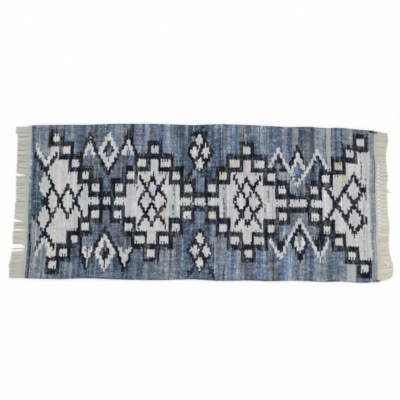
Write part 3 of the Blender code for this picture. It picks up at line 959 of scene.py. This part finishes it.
def build_cloth(colours, shift, chance):
    sheet = Sheet(shift, chance)
    for tail in TAILS:
        sheet.add_tail(tail)
    upper, lower = sheet.lay(UPPER), sheet.lay(LOWER)
    sheet.stitch_selvedge(upper[0], lower[0], 1, 0)
    sheet.stitch_selvedge(upper[1], lower[1], -1, WARPS - 1)
    sheet.stitch_end(upper[2], lower[2], -1, 0)
    sheet.stitch_end(upper[3], lower[3], 1, PICKS - 1)
    return sheet.piece("rug_cloth", colours)


def place_of_cloth():
    """How far part.py moved the rug to centre it."""
    return Vector((
        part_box("rug_field")[0].x - LEFT_END[-1].at,
        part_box("fringe_left")[1].y - FAR_SELVEDGE[0].at,
    ))


# ---- the fringes --------------------------------------------------------------------------------
class Tubes:
    """Many round threads as one mesh, with a colour for each ring."""

    def __init__(self):
        self.points, self.faces, self.colours, self.count = [], [], [], 0

    def add(self, path, radius, colour, twist=0.0):
        """A two-ply thread along a path, with a radius and a colour for each of its points."""
        path, rings = np.asarray(path), len(path)
        radius = np.broadcast_to(radius, rings)[:, None]
        ahead = np.gradient(path, axis=0)
        ahead /= np.linalg.norm(ahead, axis=1, keepdims=True)
        side = np.cross(ahead, (0, 0, 1))
        side /= np.linalg.norm(side, axis=1, keepdims=True)
        up = np.cross(side, ahead)
        run = np.concatenate([[0], np.cumsum(np.linalg.norm(np.diff(path, axis=0), axis=1))])
        turn = np.arange(RING_POINTS) * math.tau / RING_POINTS
        plies = np.cos(2 * (turn[None, :] - math.tau * run[:, None] / PLY_PITCH - twist))
        reach = (radius * (1 + PLY_DEPTH * plies))[..., None]
        cos, sin = np.cos(turn)[None, :, None], np.sin(turn)[None, :, None]
        around = cos * side[:, None, :] + sin * up[:, None, :]
        self.points.append((path[:, None, :] + reach * around).reshape(-1, 3))
        self.colours.append(np.repeat(np.broadcast_to(colour, (rings, 3)), RING_POINTS, axis=0))
        i, j = np.meshgrid(np.arange(rings - 1) * RING_POINTS, np.arange(RING_POINTS), indexing="ij")
        k = (j + 1) % RING_POINTS
        sides = np.stack([i + j, i + k, i + RING_POINTS + k, i + RING_POINTS + j], axis=-1)
        self.faces += (self.count + sides.reshape(-1, 4)).tolist()
        first, last = self.count, self.count + (rings - 1) * RING_POINTS
        self.faces += [list(range(first, first + RING_POINTS))[::-1], list(range(last, last + RING_POINTS))]
        self.count += rings * RING_POINTS

    def piece(self, name):
        colour = np.ones((self.count, 4), np.float32)
        colour[:, :3] = np.concatenate(self.colours)
        return add_yarn(name, np.concatenate(self.points), self.faces, colour, "POINT")


# A bundle's edge is the painted shade on its first thread, for the groove between bundles.
Bundle = namedtuple("Bundle", "first count knotted sway shade edge")


def gather_bundles(fringe, chance):
    """Neighbouring threads that lie together, all along a fringe."""
    bundles = []
    first = sway = 0
    while first < THREAD_COUNT:
        knotted = first in fringe.knots
        count = min(chance.integers(*(KNOT_THREADS if knotted else LOOSE_THREADS)), THREAD_COUNT - first)
        sway += chance.uniform(-SWAY_CHANGE, SWAY_CHANGE)
        faintness = GROOVE_SHADE_FADE * first / THREAD_COUNT
        # painted shade for the groove before this bundle, fainter towards the near side
        edge = 1 - (1 - chance.uniform(*fringe.edges)) * (1 - faintness)
        shade = 1 + BUNDLE_GRAIN * chance.standard_normal()
        bundles.append(Bundle(first, count, knotted, sway, shade, edge))
        first += count
    return bundles


def end_point(fringe, v, shift):
    """X and Y of the field's end at v of its width."""
    u = 0 if fringe.out < 0 else 1
    far, near = read(FAR_SELVEDGE, u), read(NEAR_SELVEDGE, u)
    return shift.x + read(LEFT_END if u == 0 else RIGHT_END, v), shift.y + far * (1 - v) + near * v


def read_tones(tones, share):
    shares = [tone.share for tone in tones]
    return np.stack([np.interp(share, shares, [tone[i] for tone in tones]) for i in (1, 2, 3)], axis=-1)


def leaning(fringe, string, free):
    """How far a string lies from its straight line, at shares of its free length."""
    corners = fringe.far_lean * max(0, 1 - string / LEANING_STRINGS)
    corners += fringe.near_lean * max(0, 1 - (STRING_COUNT - 1 - string) / LEANING_STRINGS)
    total = corners * (1 - (1 - free)**fringe.lean_power)
    for parting in fringe.partings:
        strings_off = string + 0.5 - parting.string
        push = parting.far if strings_off < 0 else -parting.near
        total += push * max(0, 1 - abs(strings_off) / PARTED_STRINGS) * (1 - (1 - free)**parting.power)
    return total


def heading_swing(along, string):
    """How far the threads of a string swing up where they pass the picks of the heading."""
    swing = 0
    for number, pick in enumerate(HEADING_PICKS):
        closeness = 1 - abs(along - pick) / (HEADING_PICKS[1] - HEADING_PICKS[0])
        swing = swing + HEADING_SWING * closeness.clip(0, 1) * (-1 if (string + number) % 2 == 0 else 1)
    return swing


def thread_stations(fringe, share, chance):
    """Distances from the field's end along a thread, and the shares of its free length there."""
    reach = read(fringe.reach, share) + chance.uniform(-1, 1) * TIP_UNEVENNESS
    along = np.concatenate([
        np.linspace(-ROOT_TUCK, HEADING_WIDTH, THREAD_RINGS // 3, endpoint=False),
        np.linspace(HEADING_WIDTH, reach, THREAD_RINGS - THREAD_RINGS // 3),
    ])
    return along, ((along - HEADING_WIDTH) / (reach - HEADING_WIDTH)).clip(0, 1)


def thread_colours(fringe, bundle, number, free, chance):
    """The first thread of a bundle is darker: painted shade for the groove between it and the bundle
    before.
    """
    colour = linear(read_tones(fringe.tones, (number + 0.5) / THREAD_COUNT)) * read_tones(ROOT_TO_TIP, free)
    colour *= bundle.shade * (1 + THREAD_GRAIN * chance.standard_normal())
    if number == bundle.first:
        # painted groove shade along the thread, rising after the root and fading before the tip
        line = np.minimum(GROOVE_SHADE_RISE * free, GROOVE_SHADE_FALL * (1 - free)).clip(0, 1)
        colour *= 1 - (1 - bundle.edge) * line[:, None]
    return colour


def add_thread(tubes, fringe, bundle, number, shift, chance):
    string = number // THREADS_IN_STRING
    share = (number + 0.5) / THREAD_COUNT
    x, y = end_point(fringe, share, shift)
    middle_y = end_point(fringe, (bundle.first + bundle.count / 2) / THREAD_COUNT, shift)[1]
    across = (number - bundle.first + 0.5) / bundle.count * 2 - 1
    along, free = thread_stations(fringe, share, chance)

    waves = SWAY * np.sin(math.tau * along / SWAY_LENGTH + bundle.sway)
    for length in WAVE_LENGTHS:
        waves += WAVE_SIZE * np.sin(math.tau * along / length + chance.uniform(0, math.tau))
    side = leaning(fringe, string, free) + CLUMPING * free * (middle_y - y)
    side += waves * (WAVE_RISE * free).clip(0, 1)
    fallen = (free / FALL).clip(0, 1)
    height = THREAD_RADIUS + chance.uniform(0, LIFT) + ARCH * (1 - across**2)
    height = ROOT_HEIGHT * (1 - fallen) + height * fallen + heading_swing(along, string)
    radius = np.full(THREAD_RINGS, THREAD_RADIUS)
    if bundle.knotted:
        neck = np.interp(along, (NECK_START, NECK_CLOSE, NECK_OPEN, NECK_END), (0, 1, 1, 0))
        neck_y = middle_y - (number - bundle.first - (bundle.count - 1) / 2) * NECK_PITCH
        neck_y = neck_y + NECK_SLANT * (along - NECK_OPEN)
        neck_height = THREAD_RADIUS * NECK_RADIUS * (1 + 2 * (number % 2)) + NECK_LIFT
        side += (neck_y - y - side) * neck
        height += (neck_height - height) * neck
        radius *= 1 - (1 - NECK_RADIUS) * neck
    radius[-1] *= TIP_RADIUS

    colour = thread_colours(fringe, bundle, number, free, chance)
    path = np.stack([x + fringe.out * along, y + side, height], axis=-1)
    tubes.add(path, radius, colour, twist=chance.uniform(0, math.pi))


def add_heading(tubes, fringe, shift):
    """The picks that hold the roots: one cord that goes to and fro."""
    path, shares = [], []
    for number, along in enumerate(HEADING_PICKS):
        steps = np.arange(2 * STRING_COUNT + 1) / 2
        for step in steps if number % 2 == 0 else steps[::-1]:
            share = HEADING_INSET + (1 - 2 * HEADING_INSET) * step / STRING_COUNT
            x, y = end_point(fringe, share, shift)
            over = math.cos(math.pi * (step - 0.5 + number))
            path.append((x + fringe.out * along, y, ROOT_HEIGHT + HEADING_SWING * over))
            shares.append(share)
    tubes.add(path, HEADING_RADIUS, linear(read_tones(fringe.tones, shares)) * ROOT_TO_TIP[0][1:])


def add_wrapping(tubes, fringe, bundle, shift):
    """The turns that tie a bundle's neck."""
    share = (bundle.first + bundle.count / 2) / THREAD_COUNT
    x, y = end_point(fringe, share, shift)
    half_width, half_height = WRAP_SIZE
    path = []
    for step in range(WRAP_STEPS * WRAP_TURNS):
        turn = math.tau * step / WRAP_STEPS
        along = NECK_CLOSE + WRAP_PITCH * step / WRAP_STEPS
        side = NECK_SLANT * (along - NECK_OPEN) + half_width * math.sin(turn)
        height = THREAD_RADIUS * WRAP_HEIGHT + half_height * math.cos(turn)
        path.append((x + fringe.out * along, y + side, max(height, CLEARANCE * WRAP_RADIUS)))
    tubes.add(path, WRAP_RADIUS, linear(read_tones(fringe.tones, share)) * WRAP_SHADE)


def add_wisp(tubes, fringe, wisp, shift):
    x, y = end_point(fringe, wisp.share, shift)
    part = np.linspace(0, 1, WISP_RINGS)
    along = wisp.start + wisp.length * part
    fallen = np.interp(along - read(fringe.reach, wisp.share), WISP_FALL, (0, 1))
    height = WISP_HEIGHT + (CLEARANCE * wisp.radius - WISP_HEIGHT) * fallen
    path = np.stack([x + fringe.out * along, y + wisp.turn * part**1.5, height], axis=-1)
    radius = wisp.radius * np.sin(math.pi * np.interp(part, (0, 1), WISP_ENDS))**0.5
    # painted highlight: lighter than the strings' own colour
    tubes.add(path, radius, linear(WISP_HIGHLIGHT_TONE))


def build_fringe(fringe, shift, chance):
    tubes = Tubes()
    for bundle in gather_bundles(fringe, chance):
        for number in range(bundle.first, bundle.first + bundle.count):
            add_thread(tubes, fringe, bundle, number, shift, chance)
        if bundle.knotted:
            add_wrapping(tubes, fringe, bundle, shift)
    add_heading(tubes, fringe, shift)
    for wisp in fringe.wisps:
        add_wisp(tubes, fringe, wisp, shift)
    return tubes.piece(fringe.name)


# ---- stage --------------------------------------------------------------------------------------
METRES_PER_PIXEL = 0.004
IMAGE_CENTRE = (-0.004, 0.010)  # X and Y, before the rug was centred
LENS = 85.0
SENSOR = 36.0
IMAGE_PIXELS = 400
FLOOR_SIZE = 12.0
FLOOR_DROP = 0.0002  # how far below the rug it lies
FLOOR_FINISH = {"Base Color": (0.90, 0.90, 0.895, 1), "Roughness": 0.9, "Specular IOR Level": 0.1}
SKY_STRENGTH = 0.80
SUN_ENERGY = 1.3
SUN_SPREAD = 25  # degrees
SUN_TURN = (-38, -24, 0)


def add_floor():
    mesh = bpy.data.meshes.new("floor")
    half = FLOOR_SIZE / 2
    corners = [(-half, -half, 0), (half, -half, 0), (half, half, 0), (-half, half, 0)]
    mesh.from_pydata(corners, [], [(0, 1, 2, 3)])
    paper = Graph("pale floor")
    paper.finish(FLOOR_FINISH)
    mesh.materials.append(paper.material)
    floor = add_object("floor", mesh)
    floor.location.z = -FLOOR_DROP


def add_light():
    world = bpy.data.worlds.new("studio")
    bpy.context.scene.world = world
    world.use_nodes = True
    sky = world.node_tree.nodes["Background"]
    sky.inputs["Color"].default_value = (1.0, 1.0, 1.0, 1)
    sky.inputs["Strength"].default_value = SKY_STRENGTH
    data = bpy.data.lights.new("window", "SUN")
    data.energy = SUN_ENERGY
    data.angle = math.radians(SUN_SPREAD)
    add_object("window", data).rotation_euler = [math.radians(turn) for turn in SUN_TURN]


def add_camera(shift):
    data = bpy.data.cameras.new("camera")
    data.lens = LENS
    data.sensor_width = SENSOR
    camera = add_object("camera", data)
    height = IMAGE_PIXELS * METRES_PER_PIXEL * LENS / SENSOR + CLOTH_THICKNESS
    camera.location = (shift.x + IMAGE_CENTRE[0], shift.y + IMAGE_CENTRE[1], height)
    bpy.context.scene.camera = camera


# ---- materials ----------------------------------------------------------------------------------
class Graph:
    """A material's nodes. An input is a number, a tuple or another node's output."""

    def __init__(self, name):
        self.material = bpy.data.materials.new(name)
        self.material.use_nodes = True
        self.nodes, self.links = self.material.node_tree.nodes, self.material.node_tree.links
        self.shader = self.nodes["Principled BSDF"]

    def add(self, kind, settings=None, inputs=None, output=0):
        node = self.nodes.new("ShaderNode" + kind)
        for name, value in (settings or {}).items():
            setattr(node, name, value)
        for name, value in (inputs or {}).items():
            self.put(node.inputs[name], value)
        return node.outputs[output]

    def put(self, socket, value):
        if isinstance(value, bpy.types.NodeSocket):
            self.links.new(value, socket)
        else:
            socket.default_value = value

    def finish(self, values):
        """Sets constants on the shader's own sockets."""
        for name, value in values.items():
            self.shader.inputs[name].default_value = value

    def surface(self, colour, relief, strength, distance):
        """Links the shader's colour, and a bump from the relief."""
        self.put(self.shader.inputs["Base Color"], colour)
        bump = {"Strength": strength, "Distance": distance, "Height": relief}
        self.put(self.shader.inputs["Normal"], self.add("Bump", inputs=bump))

    def math(self, operation, first, second=0.0):
        return self.add("Math", {"operation": operation}, {0: first, 1: second})

    def yarn(self):
        """The colour of the float or thread, and how far up it the point is."""
        colour = self.add("Attribute", {"attribute_name": "yarn"})
        return colour, colour.node.outputs["Alpha"]

    def speckle(self, size, detail=2.0):
        """Noise about zero, with grains of the given size."""
        place = self.add("TexCoord", output="Object")
        scale = tuple(1 / length for length in size)
        place = self.add("Mapping", inputs={"Vector": place, "Scale": scale})
        inputs = {"Vector": place, "Scale": 1.0, "Detail": detail, "Roughness": 0.6}
        noise = self.add("TexNoise", inputs=inputs)
        return self.math("MULTIPLY", self.math("SUBTRACT", noise, 0.5), 6.0)


def product(graph, *factors):
    total = factors[0]
    for factor in factors[1:]:
        total = graph.math("MULTIPLY", total, factor)
    return total


def cloth_factor(graph, grain, share):
    """What a float's colour is multiplied by: speckles, redder and greener places, and painted shade in the
    furrows.
    """
    coarse = product(graph, graph.speckle(COARSE_GRAIN), COARSE_SPECKLE)
    fine = product(graph, graph.speckle(FINE_GRAIN), FINE_SPECKLE)
    shade = product(graph, graph.math("ADD", coarse, fine), grain)
    drift = product(graph, grain, HUE_DRIFT)
    red = product(graph, graph.speckle(RED_PATCH, 1.0), drift)
    green = product(graph, graph.speckle(GREEN_PATCH, 1.0), drift)
    channels = []
    for lightening, to_red, to_green in zip(LIGHTENING, TO_RED, TO_GREEN):
        tint = graph.math("ADD", product(graph, red, to_red), product(graph, green, to_green))
        total = graph.math("ADD", product(graph, shade, float(lightening)), tint)
        channels.append(graph.math("EXPONENT", total))
    factor = graph.add("CombineXYZ", inputs=dict(zip("XYZ", channels)))
    # painted shade: darkens the colour away from each float's crest, most in dark cloth, for the furrows'
    # shade
    furrow_painted_shade = product(graph, graph.math("SUBTRACT", 1.0, share), grain, 1 - PAINTED_FURROW_SHADE)
    depth = graph.math("SUBTRACT", 1.0, furrow_painted_shade)
    return graph.add("VectorMath", {"operation": "SCALE"}, {"Vector": factor, "Scale": depth})


def cloth_material():
    graph = Graph("woven denim")
    colour, share = graph.yarn()
    light = graph.add("RGBToBW", inputs={"Color": colour})
    grain = graph.add("MapRange", inputs={"Value": light, **GRAIN_BY_LIGHT})
    factor = cloth_factor(graph, grain, share)
    tinted = graph.add("VectorMath", {"operation": "MULTIPLY"}, {0: colour, 1: factor})
    graph.surface(tinted, graph.speckle(TWILL, 3.0), strength=0.5, distance=0.0004)
    graph.finish(DENIM_FINISH)
    return graph.material


def cotton_material():
    graph = Graph("cotton string")
    colour, _ = graph.yarn()
    fibre = graph.speckle(FIBRE, 3.0)
    factor = graph.math("EXPONENT", product(graph, fibre, FIBRE_SHADE))
    shaded = graph.add("VectorMath", {"operation": "SCALE"}, {"Vector": colour, "Scale": factor})
    graph.surface(shaded, fibre, strength=0.4, distance=0.0002)
    graph.finish(COTTON_FINISH)
    return graph.material


def main():
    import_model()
    shift = place_of_cloth()
    chance = np.random.default_rng(SEED)
    chart = make_chart(chance)
    cloth = build_cloth(float_colours(chart, chance), shift, chance)
    cloth.data.materials.append(cloth_material())
    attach(cloth, "root")
    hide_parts("rug_field")
    cotton = cotton_material()
    for fringe in FRINGES:
        threads = build_fringe(fringe, shift, chance)
        threads.data.materials.append(cotton)
        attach(threads, "root")
        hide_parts(fringe.node)
    add_floor()
    add_light()
    add_camera(shift)
    bpy.context.scene.view_settings.view_transform = "Standard"


main()
